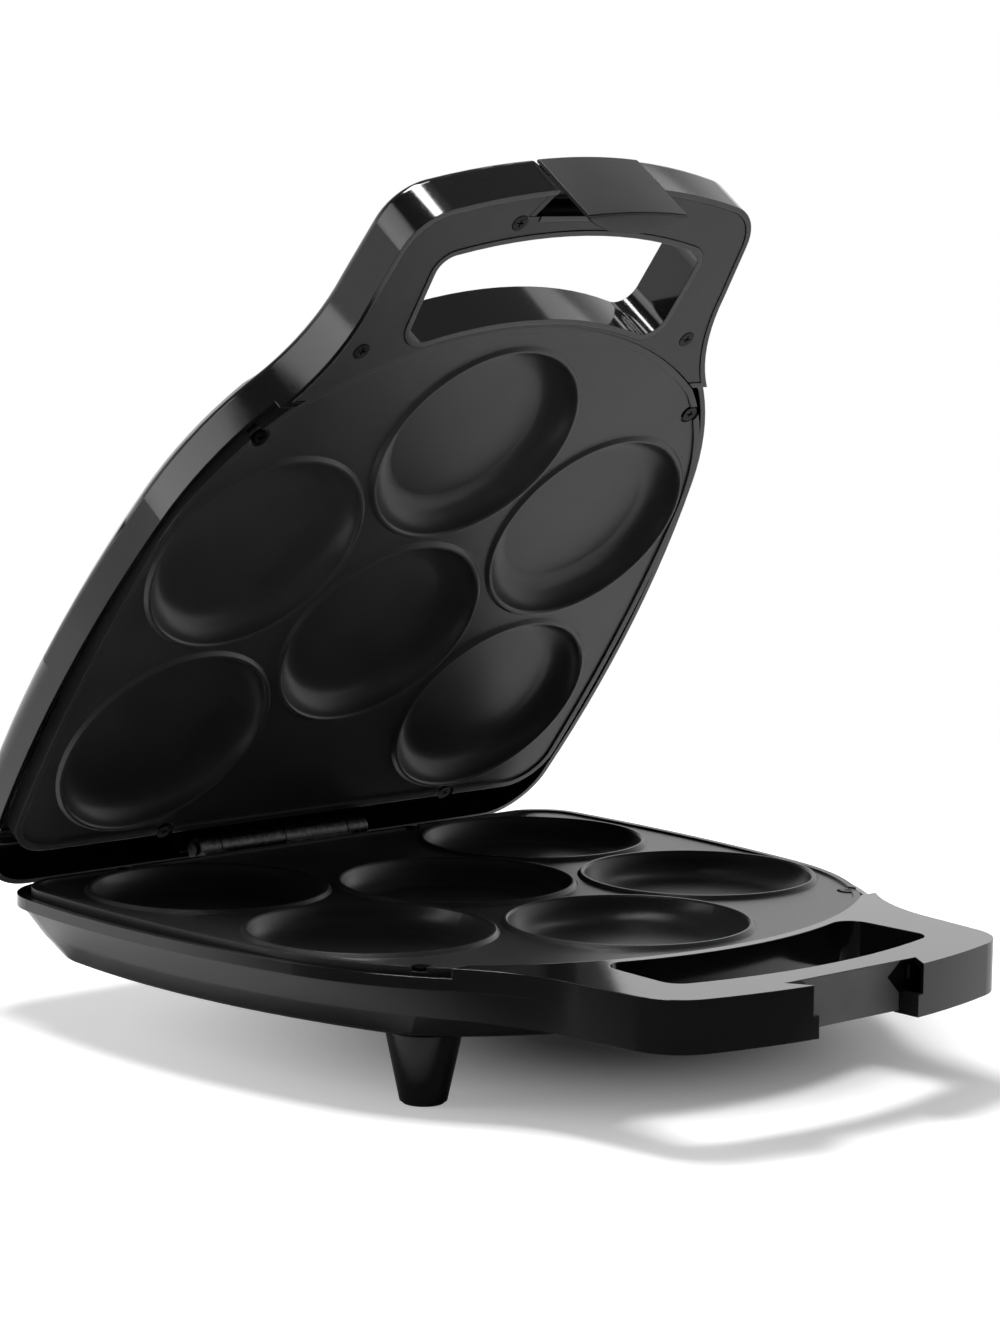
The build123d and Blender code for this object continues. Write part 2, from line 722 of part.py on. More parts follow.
with BuildPart() as lid_hollow:
    with BuildSketch(LID):
        add(body_outline(LID_REAR_Y))
        offset(amount=-WALL)
    extrude(amount=WALL - LID_DEPTH)
    fillet(lid_hollow.faces().sort_by(LID_AXIS)[-1].edges(), LID_EDGE_R - WALL)
    with BuildSketch(LID.offset(POST_TOP)):
        with Locations(*PLATE_SCREWS):
            Circle(BOSS_R)
    extrude(amount=-LID_DEPTH, mode=Mode.SUBTRACT)

with BuildPart() as lid_casing:
    with BuildSketch(LID.offset(-RIM_DROP)):
        add(body_outline(LID_REAR_Y))
    extrude(amount=RIM_DROP - LID_DEPTH)
    fillet(lid_casing.faces().sort_by(LID_AXIS)[-1].edges(), LID_EDGE_R)
    add(lid_grip_block.part)
    add(lid_hollow.part, mode=Mode.SUBTRACT)
    with BuildSketch(LID):
        add(handle_face(LID_REAR_Y, PLATE_GAP))
    extrude(amount=-RIM_DROP)
    with BuildSketch(LID.offset(-RIM_DROP)):
        add(handle_face(LID_REAR_Y, PLATE_GAP))
        add(body_mask(FRONT_WALL), mode=Mode.INTERSECT)
    extrude(amount=RIM_DROP - DECK_DEPTH)
    with BuildSketch(LID.offset(1)):
        add(cover_outline(LID_REAR_Y, RECESS_Y, 0))
    extrude(amount=-(1 + COVER_SEAT), mode=Mode.SUBTRACT)
    with BuildSketch(LID.offset(1)):
        add(grip_pocket(LID_REAR_Y, RECESS_Y))
    extrude(amount=WALL - LID_GRIP_DEPTH - 1, mode=Mode.SUBTRACT)
    with BuildSketch(LID.offset(1)):
        add(finger_hole())
        add(latch_recess(RECESS_Y))
    extrude(amount=-LID_DEPTH - 2, mode=Mode.SUBTRACT)
    with BuildSketch(LID.offset(1)):
        add(latch_pockets(RECESS_Y))
    extrude(amount=-(POCKET_DEPTH + 1), mode=Mode.SUBTRACT)
    # Screw posts of the handle cover
    with BuildSketch(LID.offset(WALL - LID_GRIP_DEPTH)):
        with Locations(*GRIP_SCREWS):
            Circle(BOSS_R)
    extrude(amount=LID_GRIP_DEPTH - WALL - COVER_THICK - 2 * COVER_DROP)
    with BuildSketch(LATCH_SIDE):
        Circle(LATCH_PIN_R + PIN_GAP)
    extrude(amount=PIN_REACH + 1, both=True, mode=Mode.SUBTRACT)
    with BuildSketch(LID):
        with Locations(*PLATE_SCREWS, *GRIP_SCREWS):
            Circle(SCREW_SHANK_R + PIN_GAP)
    extrude(amount=-SCREW_LENGTH - PLATE_DROP, mode=Mode.SUBTRACT)
    with BuildSketch(LID.offset(-LID_DEPTH - 1)):
        with Locations(*LAMPS.values()):
            Circle(LAMP_R + COVER_GAP)
    extrude(amount=WALL + 2, mode=Mode.SUBTRACT)
save(lid_casing, "lid_casing")

# Handle covers, sunk between the walls of each handle
with BuildPart() as lid_handle_cover:
    with BuildSketch(LID.offset(-COVER_DROP)):
        add(cover_outline(LID_REAR_Y, RECESS_Y, PLATE_GAP, COVER_GAP))
        add(latch_pockets(RECESS_Y, COVER_GAP), mode=Mode.SUBTRACT)
        with Locations(*GRIP_SCREWS):
            Circle(SCREW_SHANK_R + SCREW_SEAT, mode=Mode.SUBTRACT)
    extrude(amount=-COVER_THICK)
    with BuildSketch(LID.offset(-COVER_DROP)):
        with Locations(*GRIP_SCREWS):
            Circle(SCREW_HEAD_R + SCREW_SEAT)
    extrude(amount=-SCREW_SINK, mode=Mode.SUBTRACT)
save(lid_handle_cover, "lid_handle_cover")

with BuildPart() as base_handle_cover:
    with BuildSketch(BASE.offset(COVER_DROP - BASE_GRIP_DEPTH)):
        add(cover_outline(BASE_REAR_Y, NOTCH_Y, FRONT_WALL + WALL, COVER_GAP))
        with Locations(*GRIP_SCREWS):
            Circle(SCREW_SHANK_R + SCREW_SEAT, mode=Mode.SUBTRACT)
    extrude(amount=COVER_THICK)
    with BuildSketch(BASE.offset(COVER_DROP - BASE_GRIP_DEPTH)):
        with Locations(*GRIP_SCREWS):
            Circle(SCREW_HEAD_R + SCREW_SEAT)
    extrude(amount=SCREW_SINK, mode=Mode.SUBTRACT)
save(base_handle_cover, "base_handle_cover")

# Plates, heaters and reflectors of both halves
for half, frame in (("base", BASE), ("lid", LID)):
    save(cooking_plate(frame), half + "_plate")
    save(heating_element(frame), half + "_heating_element")
    save(reflector(frame), half + "_reflector")
    head_top = PLATE_TOP - NOTCH_DEPTH + SCREW_HEAD_H
    save(screws(frame, PLATE_SCREWS, head_top), half + "_plate_screws")
lid_cover_heads = SCREW_HEAD_H - COVER_DROP - SCREW_SINK
save(screws(LID, GRIP_SCREWS, lid_cover_heads), "lid_handle_screws")
base_cover_heads = COVER_DROP + SCREW_SINK - SCREW_HEAD_H - BASE_GRIP_DEPTH
save(screws(BASE, GRIP_SCREWS, base_cover_heads, turned=True), "base_handle_screws")

# Hinge: two leaves with barrels that share one pin
BASE_BARRELS = [(KNUCKLE_GAP, MAIN_KNUCKLE - KNUCKLE_GAP), (-HINGE_HALF, -MAIN_KNUCKLE - KNUCKLE_GAP)]
LID_BARRELS = [(KNUCKLE_GAP - MAIN_KNUCKLE, -KNUCKLE_GAP), (MAIN_KNUCKLE + KNUCKLE_GAP, HINGE_HALF)]
BASE_LEAF_Y = BASE_REAR_Y - WALL - COVER_GAP - LEAF_THICK / 2
LID_LEAF_Y = LID_REAR_Y - WALL - COVER_GAP - LEAF_THICK / 2


def hinge_leaf(side, barrels, strip_y, arm_z, strip_end):
    """Barrels, an arm from each, and a strip along the housing wall."""
    tall = abs(strip_end - arm_z)
    way = (strip_end - arm_z) / tall
    with BuildPart() as leaf:
        for start, end in barrels:
            with BuildSketch(side.offset(start)):
                Circle(BARREL_R)
                with Locations((strip_y / 2, arm_z)):
                    Rectangle(abs(strip_y) + LEAF_THICK, LEAF_THICK)
                with Locations((strip_y, arm_z + way * tall / 2)):
                    Rectangle(LEAF_THICK, tall)
            extrude(amount=end - start)
        with BuildSketch(side.offset(-HINGE_HALF)):
            with Locations((strip_y, strip_end - way * (tall - STRIP_CLEAR) / 2)):
                Rectangle(LEAF_THICK, tall - STRIP_CLEAR)
        extrude(amount=2 * HINGE_HALF)
        with BuildSketch(side.offset(-HINGE_HALF - 1)):
            Circle(PIN_R + PIN_GAP)
        extrude(amount=2 * HINGE_HALF + 2, mode=Mode.SUBTRACT)
    return leaf


BASE_SIDE = Plane(origin=HINGE.origin, x_dir=(0, 1, 0), z_dir=(1, 0, 0))
LID_SIDE = Plane(origin=HINGE.origin, x_dir=(0, cos(LEAN), -sin(LEAN)), z_dir=(1, 0, 0))
save(hinge_leaf(BASE_SIDE, BASE_BARRELS, BASE_LEAF_Y, -BASE_ARM, AXIS_TO_BAND), "base_hinge_leaf")
save(hinge_leaf(LID_SIDE, LID_BARRELS, LID_LEAF_Y, BARREL_R - LEAF_THICK / 2, LID_STRIP), "lid_hinge_leaf")

with BuildPart() as hinge_pin:
    with BuildSketch(BASE_SIDE.offset(-HINGE_HALF - KNUCKLE_GAP)):
        Circle(PIN_R)
    extrude(amount=2 * (HINGE_HALF + KNUCKLE_GAP))
    for x, way in ((HINGE_HALF + KNUCKLE_GAP, 1), (-HINGE_HALF - KNUCKLE_GAP, -1)):
        with BuildSketch(BASE_SIDE.offset(x)):
            Circle(PIN_R * 1.6)
        extrude(amount=way * PIN_HEAD)
save(hinge_pin, "hinge_pin")

# Latch: a bowed clip on a pin, with a lens-shaped hook along its tip
LATCH_EDGE_Y = LATCH_FRONT_Y + LATCH_BOW


def bowed(inner_y):
    """Plan of the clip: bowed front, and a back that bows to inner_y."""
    with BuildSketch() as shape:
        with BuildLine():
            front = ThreePointArc(
                (LATCH_HALF, LATCH_EDGE_Y),
                (0, LATCH_FRONT_Y),
                (-LATCH_HALF, LATCH_EDGE_Y),
            )
            left = Line(front @ 1, (-LATCH_HALF, LATCH_EDGE_Y + LATCH_EDGE))
            back = ThreePointArc(
                left @ 1,
                (0, inner_y),
                (LATCH_HALF, LATCH_EDGE_Y + LATCH_EDGE),
            )
            Line(back @ 1, front @ 0)
        make_face()
    return shape.sketch


LATCH_BACK_Y = LATCH_FRONT_Y + LATCH_BODY
with BuildPart() as latch:
    with BuildSketch(LID.offset(LATCH_TIP)):
        add(bowed(LATCH_BACK_Y))
    extrude(amount=-(LATCH_TIP + LATCH_TOP))
    top_front = latch.edges().sort_by(LID_AXIS)[-4:].sort_by(SortBy.LENGTH)[-1]
    fillet(top_front, LATCH_TOP_R / 3)
    with BuildSketch(LID.offset(LATCH_TIP)):
        add(bowed(NOTCH_Y + HOOK_REACH))
    extrude(amount=-HOOK_HEIGHT)
    with BuildSketch(LATCH_SIDE):
        Circle(LATCH_BARREL_R)
        with Locations(((LATCH_BACK_Y - LATCH_PIVOT_Y) / 2 - LATCH_EDGE / 2, 0)):
            Rectangle(LATCH_PIVOT_Y - LATCH_BACK_Y + LATCH_EDGE, 2 * LATCH_BARREL_R)
    extrude(amount=LATCH_HALF, both=True)
    with BuildSketch(LATCH_SIDE):
        Circle(LATCH_PIN_R + PIN_GAP)
    extrude(amount=LATCH_HALF + 1, both=True, mode=Mode.SUBTRACT)
save(latch, "latch")

with BuildPart() as latch_pin:
    with BuildSketch(LATCH_SIDE):
        Circle(LATCH_PIN_R)
    extrude(amount=PIN_REACH, both=True)
save(latch_pin, "latch_pin")

# Feet
GROUND = -BASE_FACE_Z
for place, (x, y) in FEET.items():
    with BuildPart() as foot:
        with BuildSketch(BASE.offset(-BASE_DEPTH)):
            with Locations((x, y)):
                Circle(FOOT_TOP_R)
        with BuildSketch(BASE.offset(GROUND + PAD_H / 2)):
            with Locations((x, y)):
                Circle(FOOT_BOTTOM_R)
        loft()
        with BuildSketch(BASE.offset(GROUND + PAD_H / 2)):
            with Locations((x, y)):
                Circle(PAD_R)
        extrude(amount=PAD_H / 2, mode=Mode.SUBTRACT)
        with BuildSketch(BASE.offset(-BASE_DEPTH)):
            with Locations((x, y)):
                Circle(SCREW_SHANK_R + PIN_GAP)
        extrude(amount=-SCREW_LENGTH, mode=Mode.SUBTRACT)
    save(foot, "foot_" + place)
with BuildPart() as foot_pads:
    with BuildSketch(BASE.offset(GROUND)):
        with Locations(*FEET.values()):
            Circle(PAD_R - SCREW_SEAT)
    extrude(amount=PAD_H)
save(foot_pads, "foot_pads")
foot_heads = WALL - BASE_DEPTH + SCREW_HEAD_H
save(screws(BASE, FEET.values(), foot_heads), "foot_screws")

# Heat control and mains entry
with BuildPart() as thermostat:
    with BuildSketch(BASE.offset(REFLECTOR_UNDER - ELEMENT_GAP)):
        with Locations((0, SENSOR_Y)):
            Circle(SENSOR_R)
    extrude(amount=-SENSOR_H)
    with BuildSketch(BASE.offset(REFLECTOR_UNDER - ELEMENT_GAP - SENSOR_H / 3)):
        with Locations((0, SENSOR_Y)):
            Rectangle(4 * SENSOR_R, SENSOR_R)
    extrude(amount=-1)
save(thermostat, "thermostat")
with BuildPart() as thermal_fuse:
    with BuildSketch(
        Plane(
            origin=BASE.from_local_coords(
                (FUSE_X, SENSOR_Y, REFLECTOR_UNDER - ELEMENT_GAP - FUSE_R)
            ),
            z_dir=(0, 1, 0),
        )
    ):
        Circle(FUSE_R)
    extrude(amount=FUSE_LENGTH / 2, both=True)
save(thermal_fuse, "thermal_fuse")
with BuildPart() as terminal_block:
    with BuildSketch(BASE.offset(WALL - BASE_DEPTH)):
        with Locations((BLOCK_PLACE_X, BLOCK_PLACE_Y)):
            Rectangle(BLOCK_X, BLOCK_Y)
    extrude(amount=BLOCK_H)
    with BuildSketch(BASE.offset(WALL - BASE_DEPTH + BLOCK_H)):
        with Locations((BLOCK_PLACE_X, BLOCK_PLACE_Y)):
            with GridLocations(BLOCK_X / 3, BLOCK_Y, 3, 1):
                Circle(SCREW_HEAD_R * 0.7)
    extrude(amount=-BLOCK_H / 3, mode=Mode.SUBTRACT)
save(terminal_block, "terminal_block")

with BuildPart() as cable_gland:
    with BuildSketch(GLAND_PLANE):
        Circle(GLAND_R)
        Circle(GLAND_BORE_R, mode=Mode.SUBTRACT)
    extrude(amount=-GLAND_LENGTH)
    with BuildSketch(GLAND_PLANE.offset(-GLAND_LENGTH)):
        Circle(GLAND_FLANGE_R)
        Circle(GLAND_BORE_R, mode=Mode.SUBTRACT)
    extrude(amount=GLAND_FLANGE)
save(cable_gland, "cable_gland")

# Indicator lamps in the top of the lid
for name, place in LAMPS.items():
    with BuildPart() as lamp:
        with BuildSketch(LID.offset(-LID_DEPTH + WALL)):
            with Locations(place):
                Circle(LAMP_R)
        extrude(amount=-(WALL + LAMP_DOME))
        fillet(lamp.faces().sort_by(LID_AXIS)[-1].edges(), LAMP_DOME * 0.9)
    save(lamp, name)
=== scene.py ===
"""Arepa maker, its lid standing open on a pale table under soft studio light."""
import bmesh
import bpy
from math import cos, radians, sin
from mathutils import Matrix, Vector


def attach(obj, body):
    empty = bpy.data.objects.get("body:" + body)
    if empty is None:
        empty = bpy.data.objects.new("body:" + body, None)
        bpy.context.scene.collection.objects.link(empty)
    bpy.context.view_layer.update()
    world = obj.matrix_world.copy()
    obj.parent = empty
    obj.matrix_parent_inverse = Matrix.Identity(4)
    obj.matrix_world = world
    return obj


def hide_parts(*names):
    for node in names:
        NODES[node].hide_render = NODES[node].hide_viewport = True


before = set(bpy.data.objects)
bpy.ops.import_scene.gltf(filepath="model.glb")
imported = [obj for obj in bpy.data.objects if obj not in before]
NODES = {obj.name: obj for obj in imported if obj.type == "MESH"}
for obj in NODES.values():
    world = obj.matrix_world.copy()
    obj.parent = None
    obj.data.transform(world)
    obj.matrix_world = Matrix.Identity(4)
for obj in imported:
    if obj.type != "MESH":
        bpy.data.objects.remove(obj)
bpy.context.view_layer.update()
MM = 0.001

# Frames of the two halves, as in the part's source (mm, origin above the hinge axis)
LEAN = radians(54.2)
HINGE = Vector((0, 170, 60))
BASE_FACE = 0.6
LID_FACE = 1.4
BASE_FRAME = Matrix.Translation(HINGE + Vector((0, 0, BASE_FACE)))
LID_AXES = Matrix(((-1, 0, 0), (0, cos(LEAN), -sin(LEAN)), (0, -sin(LEAN), -cos(LEAN))))
LID_FRAME = (
    Matrix.Translation(HINGE + LID_FACE * Vector((0, sin(LEAN), cos(LEAN))))
    @ LID_AXES.transposed().to_4x4()
)

# Handle front and latch, as the CAD has them (mm)
FRONT_Y = -364.5
FRONT_R = 292.8
RECESS_Y = -350.0
NOTCH_Y = -353.0
NOTCH_HALF = 27.7
LATCH_HALF = 27.0
LATCH_FRONT_Y = -366.3
LATCH_BOW = 1.4
LATCH_TOP = -18.5
LATCH_TIP = 20.4
LATCH_EDGE = 1.6
LATCH_BODY = 3.4
LATCH_PIVOT_Y = -355.0
LATCH_PIVOT_Z = -12.6
LATCH_BARREL_R = 4.0

# Lens along the latch's tip, the groove above it, and the web to the barrel (mm)
LATCH_LENS = 7.0
LATCH_LENS_H = 3.6
LATCH_GROOVE = 0.6
WEB_SINK = 0.4
WEB_INSET = 0.2
LATCH_STATIONS = 12
BARREL_SIDES = 24

# Walls beside the latch (mm): x and the distance behind the front edge
POCKET_WALL = (
    (LATCH_HALF + 0.25, 0.06),
    (30.6, 0.06),
    (31.8, 2.4),
    (LATCH_HALF + 0.25, 2.4),
)
POCKET_WALL_Z = (-17.5, -0.03)

# Wedges behind those walls (mm): x and y
POCKET_WEDGE = (
    (NOTCH_HALF + 0.1, -360.5),
    (31.2, -360.5),
    (36.5, RECESS_Y + 0.1),
    (33.4, RECESS_Y + 0.1),
)
POCKET_WEDGE_Z = (-12.0, -0.35)

# Face at the back of the notch and its three-cornered windows (mm)
NOTCH_FACE_HALF = NOTCH_HALF - 0.2
NOTCH_FACE_THICK = 0.35
NOTCH_FACE_FOOT = -19.8
WINDOW_TIP_X = 20.4
WINDOW_TIP_Z = -5.8
WINDOW_TOP = -0.2
WINDOW_FOOT = -12.9

SHARP_ANGLE = radians(32)
BEVEL_SAMPLES = 4

# Camera, in the part's frame, from the fit to the photograph
CAMERA_PLACE = (-1.05712, -1.16023, 0.37851)
CAMERA_AZIMUTH = -41.81
CAMERA_ELEVATION = 8.02
CAMERA_ROLL = 0.75
CAMERA_LENS = 102.82
CAMERA_SENSOR = 36.0
CAMERA_FAR = 60.0
VIEW_AHEAD = (-sin(radians(CAMERA_AZIMUTH)), cos(radians(CAMERA_AZIMUTH)), 0)

# Sky: its brightness beyond the part, on the camera's side and overhead, and
# where it turns from one to the other
SKY_BACK = 1.15
SKY_FRONT = 0.12
SKY_TOP = 0.12
SKY_TURN = (-0.5, 0.3)
SKY_CEILING = (0.25, 0.6)

# Table (m): radii where it turns white, and where a painted glow that only the camera sees lifts
# it lighter around the painted shadow's centre
TABLE_SIZE = 16.0
PAINTED_TABLE_LIGHT = 0.5
PAINTED_SHADE_CENTRE = (0.04, -0.02, 0)
PAINTED_SHADE_EDGE = (0.03, 0.22)
WHITE_EDGE = (0.35, 0.9)

# Painted dark reflection: where glossy rays see the table on the near side as near black (m
# along the view)
NEAR_EDGE = (-0.24, -0.06)
PAINTED_REFLECTION_DARKNESS = 0.92

# Soft boxes: name, place and aim (m), width and height (m), watts
SOFT_BOXES = (
    ("overhead_box", (-0.15, 0.28, 1.6), (0, -0.05, 0), (0.66, 0.58), 30.0),
    ("right_box", (1.25, 0.3, 1.2), (0, 0, 0.3), (0.35, 0.5), 0.6),
    ("left_box", (-1.6, 0.9, 1.0), (0, 0, 0.15), (0.5, 1.4), 5.0),
)


def linear(code):
    """sRGB hex colour as linear values."""
    values = []
    for start in (1, 3, 5):
        value = int(code[start : start + 2], 16) / 255
        values.append(value / 12.92 if value <= 0.04045 else ((value + 0.055) / 1.055) ** 2.4)
    return (*values, 1.0)


WHITE = linear("#ffffff")


def put(tree, kind, settings=None, links=None, **sockets):
    """Adds one node, with its properties, socket values and incoming links."""
    node = tree.nodes.new(kind)
    for name, value in (settings or {}).items():
        setattr(node, name, value)
    for name, value in sockets.items():
        node.inputs[name.replace("_", " ")].default_value = value
    for socket, source in (links or {}).items():
        tree.links.new(source, node.inputs[socket])
    return node


def new_material(name):
    material = bpy.data.materials.new(name)
    material.use_nodes = True
    material.node_tree.nodes.clear()
    return material, material.node_tree


def finish_material(tree, shader):
    out = put(tree, "ShaderNodeOutputMaterial")
    tree.links.new(shader.outputs[0], out.inputs["Surface"])


def principled(material, tone, rough=None, bump=None, **sockets):
    """Ends a material with its tone, and with its roughness and relief if it has them."""
    tree = material.node_tree
    links = {"Base Color": tone.outputs["Color"]}
    if rough:
        links["Roughness"] = rough.outputs["Result"]
    if bump:
        links["Normal"] = bump.outputs["Normal"]
    shader = put(tree, "ShaderNodeBsdfPrincipled", links=links, **sockets)
    finish_material(tree, shader)
    return material


def grain(tree, size_mm, detail=2.0):
    """Noise whose features are about size_mm across."""
    place = put(tree, "ShaderNodeTexCoord")
    noise = put(
        tree,
        "ShaderNodeTexNoise",
        links={"Vector": place.outputs["Object"]},
        Scale=1 / (size_mm * MM),
        Detail=detail,
        Roughness=0.5,
    )
    return noise.outputs["Fac"]


def ramp(tree, source, low, high):
    """Maps the middle of a noise to a range of roughness."""
    return put(
        tree,
        "ShaderNodeMapRange",
        links={"Value": source},
        From_Min=0.3,
        From_Max=0.7,
        To_Min=low,
        To_Max=high,
    )


def two_tone(tree, source, dark, light, start=0.35, stop=0.65):
    """Blends two colours over the middle of a noise."""
    node = put(tree, "ShaderNodeValToRGB", links={"Fac": source})
    ends = node.color_ramp.elements
    ends[0].position = start
    ends[0].color = linear(dark)
    ends[1].position = stop
    ends[1].color = linear(light)
    return node


def relief(tree, height, depth_mm, strength, edge_mm=0.0):
    """Bump from a noise, over edges softened by edge_mm."""
    links = {"Height": height}
    if edge_mm:
        edge = put(
            tree, "ShaderNodeBevel", {"samples": BEVEL_SAMPLES}, Radius=edge_mm * MM
        )
        links["Normal"] = edge.outputs["Normal"]
    return put(
        tree,
        "ShaderNodeBump",
        links=links,
        Distance=depth_mm * MM,
        Strength=strength,
    )


def smooth_step(tree, source, edge, low, high):
    """Eases from low to high between the two values of edge."""
    return put(
        tree,
        "ShaderNodeMapRange",
        {"interpolation_type": "SMOOTHSTEP"},
        {"Value": source},
        From_Min=edge[0],
        From_Max=edge[1],
        To_Min=low,
        To_Max=high,
    )


def vector_math(tree, operation, source, other=None):
    node = put(tree, "ShaderNodeVectorMath", {"operation": operation}, {0: source})
    if other:
        node.inputs[1].default_value = other
    return node.outputs["Value"]


def multiply(tree, first, second):
    return put(tree, "ShaderNodeMath", {"operation": "MULTIPLY"}, {0: first, 1: second})


def mix_shaders(tree, share, first, second):
    links = {0: share, 1: first.outputs[0], 2: second.outputs[0]}
    return put(tree, "ShaderNodeMixShader", links=links)


# Polished black ABS: the mould is polished, so soft boxes show as clear streaks
# with a slight waviness from shrinkage
def polished_abs():
    material, tree = new_material("polished_black_abs")
    wave = grain(tree, 45.0, detail=1.0)
    dust = grain(tree, 1.2, detail=3.0)
    tone = two_tone(tree, dust, "#0d0d0e", "#121213")
    gloss = ramp(tree, dust, 0.08, 0.12)
    bump = relief(tree, wave, 0.04, 0.5, edge_mm=0.5)
    return principled(material, tone, gloss, bump, IOR=1.54)


# Black ABS from a spark-eroded mould: a velvety grey with no clear reflections
def eroded_abs(name, dark, light, pit_mm):
    material, tree = new_material(name)
    pits = grain(tree, pit_mm)
    cloud = grain(tree, 18.0)
    tone = two_tone(tree, cloud, dark, light)
    matt = ramp(tree, pits, 0.4, 0.5)
    bump = relief(tree, pits, 0.05, 0.6, edge_mm=0.4)
    return principled(material, tone, matt, bump, IOR=1.52)


# Cast aluminium under a sprayed non-stick coat: charcoal, silky, with a fine
# orange peel that blurs what it reflects
def sprayed_nonstick():
    material, tree = new_material("sprayed_nonstick_on_cast_aluminium")
    peel = grain(tree, 0.9)
    speck = grain(tree, 0.35, detail=1.0)
    cloud = grain(tree, 30.0)
    tone = two_tone(tree, cloud, "#2a2a2b", "#303031")
    silk = ramp(tree, speck, 0.28, 0.37)
    bump = relief(tree, peel, 0.03, 0.5, edge_mm=0.5)
    return principled(material, tone, silk, bump, IOR=1.45)


# Steel blackened in a hot salt bath: dark, with worn brighter spots
def blackened_steel(name, dark, light):
    material, tree = new_material(name)
    wear = grain(tree, 2.5, detail=4.0)
    tone = two_tone(tree, wear, dark, light, 0.4, 0.75)
    rough = ramp(tree, wear, 0.3, 0.45)
    bump = relief(tree, wear, 0.02, 0.4, edge_mm=0.2)
    return principled(material, tone, rough, bump, Metallic=1.0)


# Moulded rubber: dull, dark, with a faint bloom
def moulded_rubber():
    material, tree = new_material("moulded_rubber")
    bloom = grain(tree, 4.0, detail=3.0)
    tone = two_tone(tree, bloom, "#1c1c1c", "#262626")
    bump = relief(tree, bloom, 0.05, 0.4)
    return principled(material, tone, bump=bump, Roughness=0.75, IOR=1.5)


# Bare rolled metal inside the housings: slightly mottled, with a soft broken shine
def rolled_metal(name, dark, light, roughness):
    material, tree = new_material(name)
    roll = grain(tree, 1.5, detail=3.0)
    tone = two_tone(tree, roll, dark, light)
    bump = relief(tree, roll, 0.02, 0.4)
    return principled(material, tone, bump=bump, Metallic=1.0, Roughness=roughness)


# Heat-proof moulding compound of the terminal block: creamy and slightly mottled
def moulding_compound():
    material, tree = new_material("cream_moulding_compound")
    mottle = grain(tree, 1.0, detail=3.0)
    tone = two_tone(tree, mottle, "#cfc8b8", "#ddd7c9")
    return principled(material, tone, Roughness=0.5, IOR=1.5)


# Tinted polycarbonate lens: clear gloss over a deep colour
def tinted_lens(name, dark, light):
    material, tree = new_material(name)
    swirl = grain(tree, 2.0)
    tone = two_tone(tree, swirl, dark, light)
    return principled(material, tone, Roughness=0.08, IOR=1.58)


def dress_nodes():
    """Gives every node its material and returns the two that the pieces share."""
    gloss = polished_abs()
    matt = eroded_abs("spark_eroded_black_abs", "#1c1c1d", "#212122", 0.45)
    coat = sprayed_nonstick()
    dark_steel = blackened_steel("blackened_steel", "#1e1e20", "#333335")
    hinge_steel = blackened_steel("worn_blackened_steel", "#4e4e50", "#747476")
    rubber = moulded_rubber()
    sheath = rolled_metal("oxidised_steel_sheath", "#6a655e", "#7f7a72", 0.45)
    tray = rolled_metal("bright_aluminium_sheet", "#c4c4c4", "#d2d2d2", 0.3)
    finishes = {
        "base_casing": gloss,
        "lid_casing": gloss,
        "foot_front_left": gloss,
        "foot_front_right": gloss,
        "foot_rear_left": gloss,
        "foot_rear_right": gloss,
        "base_handle_cover": matt,
        "lid_handle_cover": matt,
        "latch": matt,
        "base_plate": coat,
        "lid_plate": coat,
        "base_plate_screws": dark_steel,
        "lid_plate_screws": dark_steel,
        "base_handle_screws": dark_steel,
        "lid_handle_screws": dark_steel,
        "foot_screws": dark_steel,
        "latch_pin": dark_steel,
        "hinge_pin": hinge_steel,
        "base_hinge_leaf": hinge_steel,
        "lid_hinge_leaf": hinge_steel,
        "base_heating_element": sheath,
        "lid_heating_element": sheath,
        "base_reflector": tray,
        "lid_reflector": tray,
        "thermostat": tray,
        "thermal_fuse": tray,
        "terminal_block": moulding_compound(),
        "cable_gland": rubber,
        "foot_pads": rubber,
        "power_lamp": tinted_lens("red_tinted_lens", "#8a1410", "#a31a14"),
        "ready_lamp": tinted_lens("green_tinted_lens", "#0f6a2a", "#148038"),
    }
    for name, node in NODES.items():
        material = finishes[name]
        if not node.material_slots:
            node.data.materials.append(material)
        for slot in node.material_slots:
            slot.material = material
        smooth(node.data)
    return gloss, matt


def smooth(mesh):
    mesh.shade_smooth()
    mesh.set_sharp_from_angle(angle=SHARP_ANGLE)


def add_object(name, data):
    thing = bpy.data.objects.new(name, data)
    bpy.context.scene.collection.objects.link(thing)
    return thing


def front_y(x):
    """Handle's front edge at x."""
    return FRONT_Y + x**2 / (2 * FRONT_R)


def add_piece(name, body, half, runs, material):
    """Mesh from runs of rings given in mm in a half's frame, capped at both ends."""
    mesh = bpy.data.meshes.new(name)
    shape = bmesh.new()
    for rings in runs:
        loops = [
            [shape.verts.new((half @ Vector(point)) * MM) for point in ring]
            for ring in rings
        ]
        for first, second in zip(loops, loops[1:]):
            for i in range(len(first)):
                shape.faces.new((first[i - 1], first[i], second[i], second[i - 1]))
        shape.faces.new(loops[0])
        shape.faces.new(loops[-1])
    bmesh.ops.recalc_face_normals(shape, faces=shape.faces)
    shape.to_mesh(mesh)
    shape.free()
    piece = add_object(name, mesh)
    mesh.materials.append(material)
    smooth(mesh)
    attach(piece, body)
    return piece


def prism(outline, low, high):
    return [[(x, y, z) for x, y in outline] for z in (low, high)]


